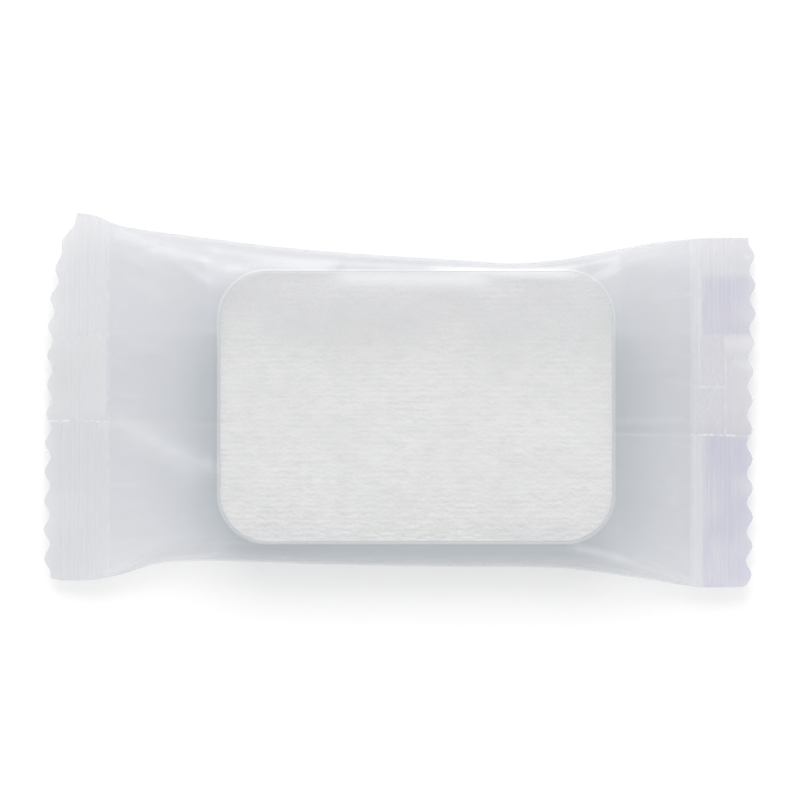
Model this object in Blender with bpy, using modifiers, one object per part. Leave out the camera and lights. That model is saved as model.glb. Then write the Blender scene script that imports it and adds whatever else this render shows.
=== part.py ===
"""Pack of compressed cotton pads: a stack of pressed pads in a frosted film sachet.

The pack lies on its back seam. Its length runs along X, its width along Y and its height along Z.
The origin is the middle of the underside.
"""
import math

import bmesh
import bpy

MM = 0.001

PACK_LENGTH = 100.0 * MM

# Film
FILM = 0.10 * MM
LAYER_PITCH = 0.20 * MM
SEAM_GAP = 0.20 * MM
CLEARANCE = 0.30 * MM

# Pads
PAD_LENGTH = 54.9 * MM
PAD_WIDTH = 37.8 * MM
PAD_THICKNESS = 1.50 * MM
PAD_CORNER = 6.7 * MM
PAD_RIM = 0.45 * MM
RIM_STEPS = 3
PAD_COUNT = 6
PAD_CENTRE = (2.15 * MM, -1.2 * MM)
PAD_SHIFT = 0.14 * MM
PAD_TURN = math.radians(0.15)
CORNER_STEPS = 7

# Back seam
SEAM_ROOT_LEFT = -3.15 * MM
SEAM_ROOT_RIGHT = -4.95 * MM
SEAM_FREE_EDGE = 9.0 * MM
SEAM_RAMP = 0.8 * MM
SEAM_MARGIN = 0.3 * MM

# End seals
SEAL_HEIGHT = 4.0 * MM
SEAL_DROOP = 1.2 * MM
SEAL_THICKNESS = 0.36 * MM
SEAL_SIDE = 0.12 * MM
LEFT_SEAL = -0.408 * PACK_LENGTH
RIGHT_SEAL = 0.407 * PACK_LENGTH
CRIMP_PITCH = 0.53 * MM
CRIMP_DEPTH = 0.20 * MM
CRIMP_COUNT = 11
SEAL_WAVE = 0.45 * MM
SEAL_BARE = 0.9 * MM
SEAL_REACH = 8.0 * MM
WAVE_LENGTH = 30.0 * MM
WAVE_RATIO = 2.24

# Knife-cut ends
TOOTH_PITCH = 4.07 * MM
TOOTH_DEPTH = 0.95 * MM
TOOTH_COUNT = 16
TOOTH_STEPS = 6
LEFT_TIP = 2.10 * MM
RIGHT_TIP = 3.85 * MM
CORNER_TOOTH = 19.9 * MM
KNIFE_MARGIN = 1.5 * MM

# Where the pouch leaves the pads and how its sides bulge
SLOPE_START = 0.5 * MM
PUFF = 1.25
FRONT_EDGE_HEIGHT = 4.4 * MM
BACK_EDGE_HEIGHT = 5.4 * MM
FRONT_SQUARENESS = 0.95
BACK_SQUARENESS = 0.55
SIDE_STEPS = 8
TOP_COLUMNS = 20
RIDGE_HEIGHT = 0.35 * MM
HOLLOW_STEPS = 10
STACK_STEPS = 8

# The tables below are in hundredths of the pack's length.
# Sides of the pouch seen from above: place along the pack, and how far out from the stack's side
BACK_REACH = (
    (-50.0, 8.7), (-45.3, 8.4), (-41.9, 7.8), (-40.5, 6.9), (-37.7, 6.3), (-32.1, 5.5),
    (-20.9, 3.9), (-9.7, 2.8), (7.1, 1.7), (17.6, 1.05), (21.1, 1.4), (26.7, 2.4),
    (32.3, 3.5), (35.1, 4.1), (40.7, 4.7), (50.0, 4.9),
)
FRONT_REACH = (
    (-50.0, 4.9), (-44.0, 5.2), (-40.5, 4.8), (-37.7, 4.2), (-34.9, 3.2), (-31.0, 2.7),
    (-9.7, 3.1), (7.1, 3.4), (21.1, 3.5), (26.7, 3.9), (32.3, 4.9), (35.1, 5.3), (40.7, 6.1),
    (50.0, 6.1),
)
# Ridges from the stack's corners to the ends of the seals, measured in from the pouch's side
BACK_RIDGE = (
    (-41.0, 0.1), (-34.0, 2.2), (-27.9, 3.4), (-18.1, 4.2), (-9.7, 3.4), (7.1, 2.4),
    (17.6, 1.75), (24.0, 2.6), (30.0, 2.6), (36.0, 1.3), (41.0, 0.1),
)
FRONT_RIDGE = (
    (-41.0, 0.1), (-34.0, 2.0), (-27.0, 3.2), (-20.0, 3.5), (10.0, 4.1), (22.0, 4.0),
    (29.0, 3.4), (36.0, 1.6), (41.0, 0.1),
)
# Creases in the front film: start and end along X and Y, then height and width
CREASES = (
    ((-40.8, -2.2), (-24.6, -12.0), 0.85, 1.6),
    ((-40.8, 21.0), (-33.0, 16.5), 0.40, 1.1),
    ((-40.8, 7.4), (-30.0, 5.2), 0.40, 1.3),
    ((-40.8, -19.0), (-30.0, -17.5), 0.40, 1.2),
    ((-25.5, 14.5), (-33.0, 19.8), 0.50, 1.0),
    ((27.0, 15.5), (36.0, 20.6), 0.50, 1.0),
    ((40.7, 5.0), (31.0, 2.5), 0.40, 1.2),
    ((40.7, -16.0), (30.5, -12.0), 0.45, 1.3),
    ((25.0, -20.3), (36.5, -24.2), 0.45, 1.0),
    ((-26.0, -20.3), (-36.0, -23.4), 0.45, 1.0),
    ((13.0, 16.9), (24.0, 16.3), 0.30, 0.9),
)
# Lines through the tips of the teeth: place across the pack, then along it
LEFT_TIPS = ((-30.0, -49.7), (-18.0, -49.95), (2.0, -49.6), (14.3, -49.1), (18.3, -48.35))
RIGHT_TIPS = ((-26.0, 49.2), (-20.0, 49.45), (0.0, 49.5), (8.0, 49.75), (13.0, 49.95), (26.0, 49.6))
# The corner of the left seal that the knife missed: places along the pack and across it
BARE_CORNER = ((-47.4, 20.5), (-47.4, 22.3), (-46.4, 23.6), (-45.6, 24.4), (-45.3, 26.1), (-44.9, 30.0))

HUNDREDTH = 0.01 * PACK_LENGTH
LEFT_END = PAD_CENTRE[0] - 0.5 * PAD_LENGTH - SLOPE_START
RIGHT_END = PAD_CENTRE[0] + 0.5 * PAD_LENGTH + SLOPE_START
STACK_BASE = 0.5 * FILM + 2 * LAYER_PITCH + 0.5 * SEAM_GAP + 0.5 * FILM + CLEARANCE
STACK_HEIGHT = PAD_COUNT * PAD_THICKNESS + (PAD_COUNT - 1) * CLEARANCE
TOP_LEVEL = STACK_BASE + STACK_HEIGHT + CLEARANCE + 0.5 * FILM
BOTTOM_LEVEL = 0.5 * FILM
SEAM_LIFT = STACK_BASE - CLEARANCE - FILM


def curve(points, x):
    """Value at x of a smooth curve through points given in hundredths of the pack's length."""
    xs = [point[0] * HUNDREDTH for point in points]
    ys = [point[1] * HUNDREDTH for point in points]
    slopes = [(ys[i + 1] - ys[i]) / (xs[i + 1] - xs[i]) for i in range(len(xs) - 1)]
    if x <= xs[0]:
        return ys[0]
    if x >= xs[-1]:
        return ys[-1]
    i = max(j for j in range(len(xs) - 1) if xs[j] <= x)
    gap = xs[i + 1] - xs[i]
    t = (x - xs[i]) / gap
    start = 0.5 * (slopes[max(i - 1, 0)] + slopes[i]) * gap
    end = 0.5 * (slopes[i] + slopes[min(i + 1, len(slopes) - 1)]) * gap
    rise = ys[i + 1] - ys[i]
    return ys[i] + t * start + t * t * (3 * rise - 2 * start - end) + t ** 3 * (start + end - 2 * rise)


def mix(a, b, t):
    """The value a share t of the way from a to b."""
    return a + (b - a) * t


def fullness(x):
    """One over the stack of pads, falling to zero at the end seals."""
    if x < LEFT_END:
        out = (LEFT_END - x) / (LEFT_END - LEFT_SEAL)
    else:
        out = (x - RIGHT_END) / (RIGHT_SEAL - RIGHT_END)
    return 1 - min(max(out, 0), 1) ** PUFF


def front_side(x):
    """Where the front side of the pouch runs at x."""
    return PAD_CENTRE[1] - 0.5 * PAD_WIDTH - curve(FRONT_REACH, x)


def back_side(x):
    """Where the back side of the pouch runs at x."""
    return PAD_CENTRE[1] + 0.5 * PAD_WIDTH + curve(BACK_REACH, x)


def crease_height(x, y):
    """Height that the creases add to the front film."""
    total = 0
    for (x0, y0), (x1, y1), height, width in CREASES:
        along = (x1 - x0, y1 - y0)
        length = math.hypot(*along)
        offset = (x / HUNDREDTH - x0, y / HUNDREDTH - y0)
        run = (offset[0] * along[0] + offset[1] * along[1]) / length ** 2
        if 0 < run < 1:
            across = (offset[0] * along[1] - offset[1] * along[0]) / length
            total += height * HUNDREDTH * math.sin(math.pi * run) * math.exp(-(across / width) ** 2)
    return total * min(1, 5 * fullness(x))


def seam_root(x):
    """Where the back seam leaves the tube."""
    return mix(SEAM_ROOT_LEFT, SEAM_ROOT_RIGHT, (x - LEFT_SEAL) / (RIGHT_SEAL - LEFT_SEAL))


def side_bulge(ridge, edge, levels, edge_level, squareness, pointed):
    """Points of one side of the tube, from its lower level round to its upper one."""
    points = []
    for step in range(SIDE_STEPS + 1):
        angle = math.pi * (step / SIDE_STEPS - 0.5)
        out = abs(math.cos(angle)) ** squareness
        up = math.copysign(abs(math.sin(angle)) ** squareness, angle)
        fold = 1 - abs(2 * step / SIDE_STEPS - 1)
        reach = mix(out, fold, pointed)
        rise = mix(abs(up), 1 - fold, pointed)
        level = levels[1] if up > 0 else levels[0]
        points.append((mix(ridge, edge, reach), mix(edge_level, level, rise)))
    return points


def tube_section(x):
    """Path of the film round the pack at x, from the seam's lower layer to its upper one."""
    full = fullness(x)
    low = mix(SEAL_HEIGHT - 0.5 * LAYER_PITCH, BOTTOM_LEVEL, full)
    high = mix(SEAL_HEIGHT + 0.5 * LAYER_PITCH, TOP_LEVEL, full)
    over_seam = low + SEAM_LIFT * full
    upper_seam = over_seam - LAYER_PITCH - 0.5 * SEAM_GAP * full
    lower_seam = over_seam - SEAM_LIFT
    root = seam_root(x)
    turn = 0.5 * (over_seam - upper_seam)
    middle_of_seam = 0.5 * (root + SEAM_FREE_EDGE)
    front = front_side(x)
    back = back_side(x)
    front_ridge = front + max(curve(FRONT_RIDGE, x), 0.5 * LAYER_PITCH)
    back_ridge = back - max(curve(BACK_RIDGE, x), 0.5 * LAYER_PITCH)
    pointed = 0.45 * min(1, 2.5 * (1 - full)) * min(1, 4 * full)
    front_bulge = side_bulge(front_ridge, front, (low, high), mix(SEAL_HEIGHT, FRONT_EDGE_HEIGHT, full),
                             mix(1, FRONT_SQUARENESS, full), pointed)
    back_bulge = side_bulge(back_ridge, back, (low, high), mix(SEAL_HEIGHT, BACK_EDGE_HEIGHT, full),
                            mix(1, BACK_SQUARENESS, full), pointed)
    path = [(SEAM_FREE_EDGE, lower_seam), (middle_of_seam, lower_seam), (root, lower_seam)]
    path.append((root - SEAM_RAMP, low))
    path.append((0.5 * (root + front_ridge), low))
    path += front_bulge
    path[-1] = (front_ridge, high + 4 * RIDGE_HEIGHT * full * (1 - full))
    for column in range(1, TOP_COLUMNS):
        y = mix(front_ridge, back_ridge, column / TOP_COLUMNS)
        path.append((y, high + crease_height(x, y)))
    path.append((back_ridge, high + 4 * RIDGE_HEIGHT * full * (1 - full)))
    path += reversed(back_bulge[:-1])
    path.append((SEAM_FREE_EDGE + 2 * SEAM_RAMP, low))
    path.append((SEAM_FREE_EDGE + SEAM_RAMP, over_seam))
    path.append((middle_of_seam, over_seam))
    for step in range(5):
        angle = math.pi * (0.5 + step / 4)
        path.append((root + turn + turn * math.cos(angle), upper_seam + turn + turn * math.sin(angle)))
    path += [(middle_of_seam, upper_seam), (SEAM_FREE_EDGE, upper_seam)]
    return path


def tube_stations():
    """Places along the pack where the tube has a section, from inside one seal to inside the other."""
    left = [mix(LEFT_SEAL, LEFT_END, step / HOLLOW_STEPS) for step in range(HOLLOW_STEPS)]
    middle = [mix(LEFT_END, RIGHT_END, step / STACK_STEPS) for step in range(STACK_STEPS)]
    right = [mix(RIGHT_END, RIGHT_SEAL, step / HOLLOW_STEPS) for step in range(HOLLOW_STEPS + 1)]
    overlap = 0.5 * SEAL_BARE
    return [LEFT_SEAL - overlap] + left + middle + right + [RIGHT_SEAL + overlap]


def seal_level(x, y, seal, outward):
    """Height of the middle of an end seal, which droops and waves towards its cut edge."""
    share = max((x - seal) * outward - SEAL_BARE, 0) / SEAL_REACH
    turn = 2 * math.pi * y / WAVE_LENGTH
    wave = math.sin(turn + outward) + 0.5 * math.sin(WAVE_RATIO * turn + 2 * outward)
    return SEAL_HEIGHT - SEAL_DROOP * share ** 1.5 + SEAL_WAVE * wave * share


def seal_stations(seal, outward):
    """Pairs of x and crimp offset from the tube's end to past the knife cut."""
    start = seal + outward * SEAL_BARE
    stations = [(seal, 0), (start, 0)]
    for rib in range(2 * CRIMP_COUNT):
        x = start + outward * (rib + 1) * 0.5 * CRIMP_PITCH
        stations.append((x, CRIMP_DEPTH * (0.5 if rib % 2 else -0.5)))
    last_crimp = stations[-1][0] + outward * 0.5 * CRIMP_PITCH
    past_knife = outward * (0.5 * PACK_LENGTH + KNIFE_MARGIN)
    stations += [(mix(last_crimp, past_knife, step / 2), 0) for step in range(3)]
    return stations


def seal_rows(seal, outward):
    """Sections of an end seal, each the upper and lower points across the pack."""
    rows = []
    for x, crimp in seal_stations(seal, outward):
        front = front_side(x) - SEAL_SIDE
        back = back_side(x) + SEAL_SIDE
        root = seam_root(x) - SEAM_RAMP
        free = SEAM_FREE_EDGE + SEAM_MARGIN
        columns = [mix(front, root, step / 4) for step in range(4)]
        columns += [root, root + SEAM_MARGIN, mix(root, free, 0.5), free - 0.8 * SEAM_MARGIN, free]
        columns += [mix(free, back, step / 3) for step in range(1, 4)]
        upper, lower = [], []
        for y in columns:
            level = seal_level(x, y, seal, outward) + crimp
            in_seam = root < y < free
            upper.append((x, y, level + 0.5 * SEAL_THICKNESS))
            lower.append((x, y, level - 0.5 * SEAL_THICKNESS - (2 * LAYER_PITCH if in_seam else 0)))
        rows.append((upper, lower))
    return rows


def teeth(tips, first_tip, outward):
    """Wavy line of the knife cut at one end, with a round tip at every pitch."""
    points = []
    for step in range(TOOTH_COUNT * TOOTH_STEPS + 1):
        turn = step / TOOTH_STEPS - 0.5 * TOOTH_COUNT
        y = first_tip + turn * TOOTH_PITCH
        depth = TOOTH_DEPTH * (0.5 - 0.5 * math.cos(2 * math.pi * turn))
        points.append((curve(tips, y) - outward * depth, y))
    return points


def knife_plan():
    """Outline of both knife cuts seen from above."""
    left = [point for point in teeth(LEFT_TIPS, LEFT_TIP, -1) if point[1] < CORNER_TOOTH]
    left += [(x * HUNDREDTH, y * HUNDREDTH) for x, y in BARE_CORNER]
    return left + teeth(RIGHT_TIPS, RIGHT_TIP, 1)[::-1]


def link(name, mesh, collection, material=None):
    """Object made of a mesh, in its collection and with its material."""
    made = bpy.data.objects.new(name, mesh)
    collection.objects.link(made)
    if material:
        mesh.materials.append(material)
    return made


def sheet_mesh(name, rows):
    """Open surface through rows of equally many points."""
    builder = bmesh.new()
    grid = [[builder.verts.new(point) for point in row] for row in rows]
    for one, two in zip(grid, grid[1:]):
        for i in range(len(one) - 1):
            builder.faces.new((one[i], two[i], two[i + 1], one[i + 1]))
    bmesh.ops.recalc_face_normals(builder, faces=builder.faces)
    mesh = bpy.data.meshes.new(name)
    builder.to_mesh(mesh)
    builder.free()
    return mesh


def slab_mesh(name, rows):
    """Closed slab through rows, each a pair of upper and lower points."""
    builder = bmesh.new()
    grid = []
    for upper, lower in rows:
        grid.append([builder.verts.new(point) for point in list(upper) + list(reversed(lower))])
    count = len(grid[0])
    for one, two in zip(grid, grid[1:]):
        for i in range(count):
            j = (i + 1) % count
            builder.faces.new((one[i], two[i], two[j], one[j]))
    for row in (grid[0], grid[-1]):
        for i in range(count // 2 - 1):
            builder.faces.new((row[i], row[i + 1], row[count - 2 - i], row[count - 1 - i]))
    bmesh.ops.recalc_face_normals(builder, faces=builder.faces)
    mesh = bpy.data.meshes.new(name)
    builder.to_mesh(mesh)
    builder.free()
    return mesh


def prism_mesh(name, outline, base, height):
    """Upright prism over an outline."""
    builder = bmesh.new()
    face = builder.faces.new([builder.verts.new((x, y, base)) for x, y in outline])
    made = bmesh.ops.extrude_face_region(builder, geom=[face])
    top = [item for item in made["geom"] if isinstance(item, bmesh.types.BMVert)]
    bmesh.ops.translate(builder, verts=top, vec=(0, 0, height))
    bmesh.ops.recalc_face_normals(builder, faces=builder.faces)
    mesh = bpy.data.meshes.new(name)
    builder.to_mesh(mesh)
    builder.free()
    return mesh


def principled(name, colour, roughness, metallic=0.0):
    """Plain material with the surface's colour and sheen."""
    made = bpy.data.materials.new(name)
    made.use_nodes = True
    surface = made.node_tree.nodes["Principled BSDF"]
    surface.inputs["Base Color"].default_value = (*colour, 1.0)
    surface.inputs["Roughness"].default_value = roughness
    surface.inputs["Metallic"].default_value = metallic
    made.diffuse_color = (*colour, 1.0)
    return made


def boolean(target, tool, operation):
    """Joins to or cuts from target the shape of tool."""
    step = target.modifiers.new(operation.title() + " " + tool.name, "BOOLEAN")
    step.operation = operation
    step.solver = "EXACT"
    step.object = tool


def rounded_outline(length, width, corner):
    """Rectangle with round corners about the origin."""
    points = []
    for quarter in range(4):
        sign_x = 1 if quarter in (0, 3) else -1
        sign_y = 1 if quarter in (0, 1) else -1
        for step in range(CORNER_STEPS + 1):
            angle = math.pi / 2 * (quarter + step / CORNER_STEPS)
            x = sign_x * (0.5 * length - corner) + corner * math.cos(angle)
            y = sign_y * (0.5 * width - corner) + corner * math.sin(angle)
            points.append((x, y))
    return points


def add_pads(collection, material):
    """The pressed pads, one above the other with a hair of play between them."""
    outline = rounded_outline(PAD_LENGTH, PAD_WIDTH, PAD_CORNER)
    for index in range(PAD_COUNT):
        name = f"cotton_pad_{index + 1}"
        pad = link(name, prism_mesh(name, outline, 0, PAD_THICKNESS), collection, material)
        swing = index * 2.4
        pad.location = (
            PAD_CENTRE[0] + PAD_SHIFT * math.cos(swing),
            PAD_CENTRE[1] + PAD_SHIFT * math.sin(swing),
            STACK_BASE + index * (PAD_THICKNESS + CLEARANCE),
        )
        pad.rotation_euler.z = PAD_TURN * math.sin(2 * swing)
        rim = pad.modifiers.new("Pressed rim", "BEVEL")
        rim.width = PAD_RIM
        rim.segments = RIM_STEPS
        rim.limit_method = "ANGLE"
        rim.angle_limit = math.radians(60)


def add_film(collection, cutters, material):
    """One sheet of film rolled into a tube, crimped shut at both ends and knife-cut."""
    rows = [[(x, y, z) for y, z in tube_section(x)] for x in tube_stations()]
    film = link("film_wrapper", sheet_mesh("film_wrapper", rows), collection, material)
    wall = film.modifiers.new("Film", "SOLIDIFY")
    wall.thickness = FILM
    wall.offset = 0
    wall.use_even_offset = True
    for name, seal, outward in (("left_seal", LEFT_SEAL, -1), ("right_seal", RIGHT_SEAL, 1)):
        strip = link(name, slab_mesh(name, seal_rows(seal, outward)), cutters)
        boolean(film, strip, "UNION")
    plan = prism_mesh("knife_plan", knife_plan(), -TOP_LEVEL, 3 * TOP_LEVEL)
    boolean(film, link("knife_plan", plan, cutters), "INTERSECT")
    for helper in cutters.objects:
        helper.hide_render = True
        helper.display_type = "WIRE"


def main():
    """Clears the scene and builds the pack."""
    for item in list(bpy.data.objects):
        bpy.data.objects.remove(item)
    scene = bpy.context.scene
    pack = bpy.data.collections.new("cotton_pad_pack")
    cutters = bpy.data.collections.new("cutters")
    scene.collection.children.link(pack)
    scene.collection.children.link(cutters)
    cutters.hide_render = True
    cotton = principled("pressed_cotton", (0.86, 0.86, 0.84), 0.95)
    frosted = principled("frosted_film", (0.80, 0.83, 0.87), 0.35)
    add_pads(pack, cotton)
    add_film(pack, cutters, frosted)


main()
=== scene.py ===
"""Looks of a sachet of compressed cotton pads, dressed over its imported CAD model.

The film wrapper and the pads are rebuilt as fine meshes in the CAD model's own frame: length along
X, width along Y, height along Z, with the folded back seam underneath. All sizes are in metres.
"""

import logging  # noqa: E402
import math  # noqa: E402
from dataclasses import dataclass, field  # noqa: E402
from enum import Enum  # noqa: E402
from typing import Any  # noqa: E402

import bpy  # noqa: E402
import numpy as np  # noqa: E402
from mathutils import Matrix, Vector  # noqa: E402


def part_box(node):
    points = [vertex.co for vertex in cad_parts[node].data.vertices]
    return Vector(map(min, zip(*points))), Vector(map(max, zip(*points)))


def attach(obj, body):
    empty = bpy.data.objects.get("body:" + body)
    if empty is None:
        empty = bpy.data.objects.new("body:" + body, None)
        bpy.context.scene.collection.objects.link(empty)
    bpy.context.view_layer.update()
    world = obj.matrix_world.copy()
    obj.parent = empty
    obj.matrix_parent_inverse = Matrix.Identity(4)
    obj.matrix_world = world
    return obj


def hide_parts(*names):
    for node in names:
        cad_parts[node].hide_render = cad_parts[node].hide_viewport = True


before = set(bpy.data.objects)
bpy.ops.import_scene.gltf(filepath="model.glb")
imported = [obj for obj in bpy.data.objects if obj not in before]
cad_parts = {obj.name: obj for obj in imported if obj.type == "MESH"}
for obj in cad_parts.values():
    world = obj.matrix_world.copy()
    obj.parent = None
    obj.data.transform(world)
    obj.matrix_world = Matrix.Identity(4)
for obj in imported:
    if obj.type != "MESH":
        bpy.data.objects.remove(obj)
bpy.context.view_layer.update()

MM = 0.001
PHOTO_SIDE_PX = 800
PHOTO_SCALE = 0.14 * MM
LOG = logging.getLogger("cotton_pad_pack")

Array = np.ndarray
Socket = bpy.types.NodeSocket
Triple = tuple[float, float, float]
Pair = tuple[float, float]


class End(Enum):
    """Which end of the pack a seal closes; the value is its direction along X."""

    LEFT = -1
    RIGHT = 1


class Side(Enum):
    """Which long side of the pouch; the value is its direction along Y."""

    FRONT = -1
    BACK = 1


class Slot(Enum):
    """The record's material slots."""

    COTTON = "pressed_cotton"
    FILM = "frosted_film"


def mix(start: Any, end: Any, share: Any) -> Any:
    """The value a share of the way from start to end."""
    return start + (end - start) * share


def ease(value: Any, over: float = 1.0) -> Any:
    """Rises softly from 0 to 1 while the value goes from 0 to a length."""
    held = np.clip(value / over, 0.0, 1.0)
    return held * held * (3.0 - 2.0 * held)


def bell(offset: Any, width: Any) -> Any:
    """One at no offset, falling softly to each side."""
    return np.exp(-((offset / width) ** 2))


def soften(values: Array, spread: float) -> Array:
    """Evenly spaced values averaged with their neighbours.

    Args:
        values: The values in order.
        spread: Width of the averaging bell, in places.

    Returns:
        The averaged values, as many as came in.
    """
    reach = max(1, int(3 * spread))
    weights = np.exp(-0.5 * (np.arange(-reach, reach + 1) / spread) ** 2)
    padded = np.pad(values, reach, mode="edge")
    return np.convolve(padded, weights / weights.sum(), mode="valid")


class Grain:
    """Smooth seeded unevenness over a plane, from -1 to 1."""

    def __init__(self, seed: int, cells: int = 64) -> None:
        """Fills a seeded lattice of so many cells, after which the pattern repeats."""
        self.cells = cells
        self.lattice = np.random.default_rng(seed).uniform(-1.0, 1.0, (cells, cells))

    def at(self, x: Array, y: Array) -> Array:
        """Unevenness at points.

        Args:
            x: First coordinates, in lattice cells.
            y: Second coordinates, in lattice cells.

        Returns:
            The unevenness at each point.
        """
        left, low = np.floor(x).astype(int), np.floor(y).astype(int)
        across, up = ease(x - left), ease(y - low)
        near = self.lattice[left % self.cells, low % self.cells]
        right = self.lattice[(left + 1) % self.cells, low % self.cells]
        above = self.lattice[left % self.cells, (low + 1) % self.cells]
        far = self.lattice[(left + 1) % self.cells, (low + 1) % self.cells]
        return mix(mix(near, right, across), mix(above, far, across), up)


class CadSolid:
    """Outline of a CAD node, read by slicing its mesh."""

    def __init__(self, node: str) -> None:
        """Reads the node's edges.

        Args:
            node: Name of the CAD node.
        """
        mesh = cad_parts[node].data
        points = np.array([vertex.co for vertex in mesh.vertices], float)
        self.edges = points[np.array([edge.vertices for edge in mesh.edges], int)]

    def slice(self, across: int, level: float, read: int) -> Pair:
        """Extent of the solid in a plane.

        Args:
            across: Axis that the plane crosses.
            level: Where the plane crosses it.
            read: Axis that is measured.

        Returns:
            The lowest and highest value on that axis, or NaN where the plane misses the solid.
        """
        one, two = self.edges[:, 0], self.edges[:, 1]
        cut = (one[:, across] - level) * (two[:, across] - level) < 0
        if not cut.any():
            return math.nan, math.nan
        one, two = one[cut], two[cut]
        share = (level - one[:, across]) / (two[:, across] - one[:, across])
        found = mix(one[:, read], two[:, read], share)
        return float(found.min()), float(found.max())


def add_mesh(name: str, points: Array, quads: Array, marks: dict[str, Array]) -> bpy.types.Object:
    """Smooth-shaded mesh object in the scene.

    Args:
        name: Name of the object.
        points: Corner positions, one row each.
        quads: Corner numbers of each face, one row of four each.
        marks: Values kept on the corners, by name.

    Returns:
        The new object.
    """
    mesh = bpy.data.meshes.new(name)
    mesh.vertices.add(len(points))
    mesh.vertices.foreach_set("co", points.astype(np.float32).ravel())
    mesh.loops.add(quads.size)
    mesh.loops.foreach_set("vertex_index", quads.astype(np.int32).ravel())
    mesh.polygons.add(len(quads))
    mesh.polygons.foreach_set("loop_start", np.arange(0, quads.size, 4, dtype=np.int32))
    mesh.polygons.foreach_set("use_smooth", np.ones(len(quads), bool))
    for label, values in marks.items():
        layer = mesh.attributes.new(label, "FLOAT", "POINT")
        layer.data.foreach_set("value", values.astype(np.float32).ravel())
    mesh.update(calc_edges=True)
    mesh.validate()
    made = bpy.data.objects.new(name, mesh)
    bpy.context.scene.collection.objects.link(made)
    return made


def grid_quads(rows: int, columns: int, start: int = 0, flip: bool = False) -> Array:
    """Faces of a grid of points.

    Args:
        rows: Number of rows of points.
        columns: Points in each row.
        start: Number of the grid's first point.
        flip: Whether the faces turn the other way.

    Returns:
        The corner numbers of each face.
    """
    first = start + np.arange(rows - 1)[:, None] * columns + np.arange(columns - 1)[None, :]
    first = first.ravel()
    quads = np.stack([first, first + columns, first + columns + 1, first + 1], axis=1)
    return quads[:, ::-1] if flip else quads


@dataclass(frozen=True)
class Block:
    """The stack of pads seen from above: a rounded rectangle, in metres."""

    x: float
    y: float
    half_x: float
    half_y: float
    corner: float

    def aside(self, x: Array, y: Array) -> Array:
        """How far beyond the outline points are, zero over the block.

        Args:
            x: Places along the pack.
            y: Places across the pack.

        Returns:
            The distance at each point.
        """
        over_x = np.maximum(np.abs(x - self.x) - self.half_x + self.corner, 0.0)
        over_y = np.maximum(np.abs(y - self.y) - self.half_y + self.corner, 0.0)
        return np.maximum(np.hypot(over_x, over_y) - self.corner, 0.0)


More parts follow.
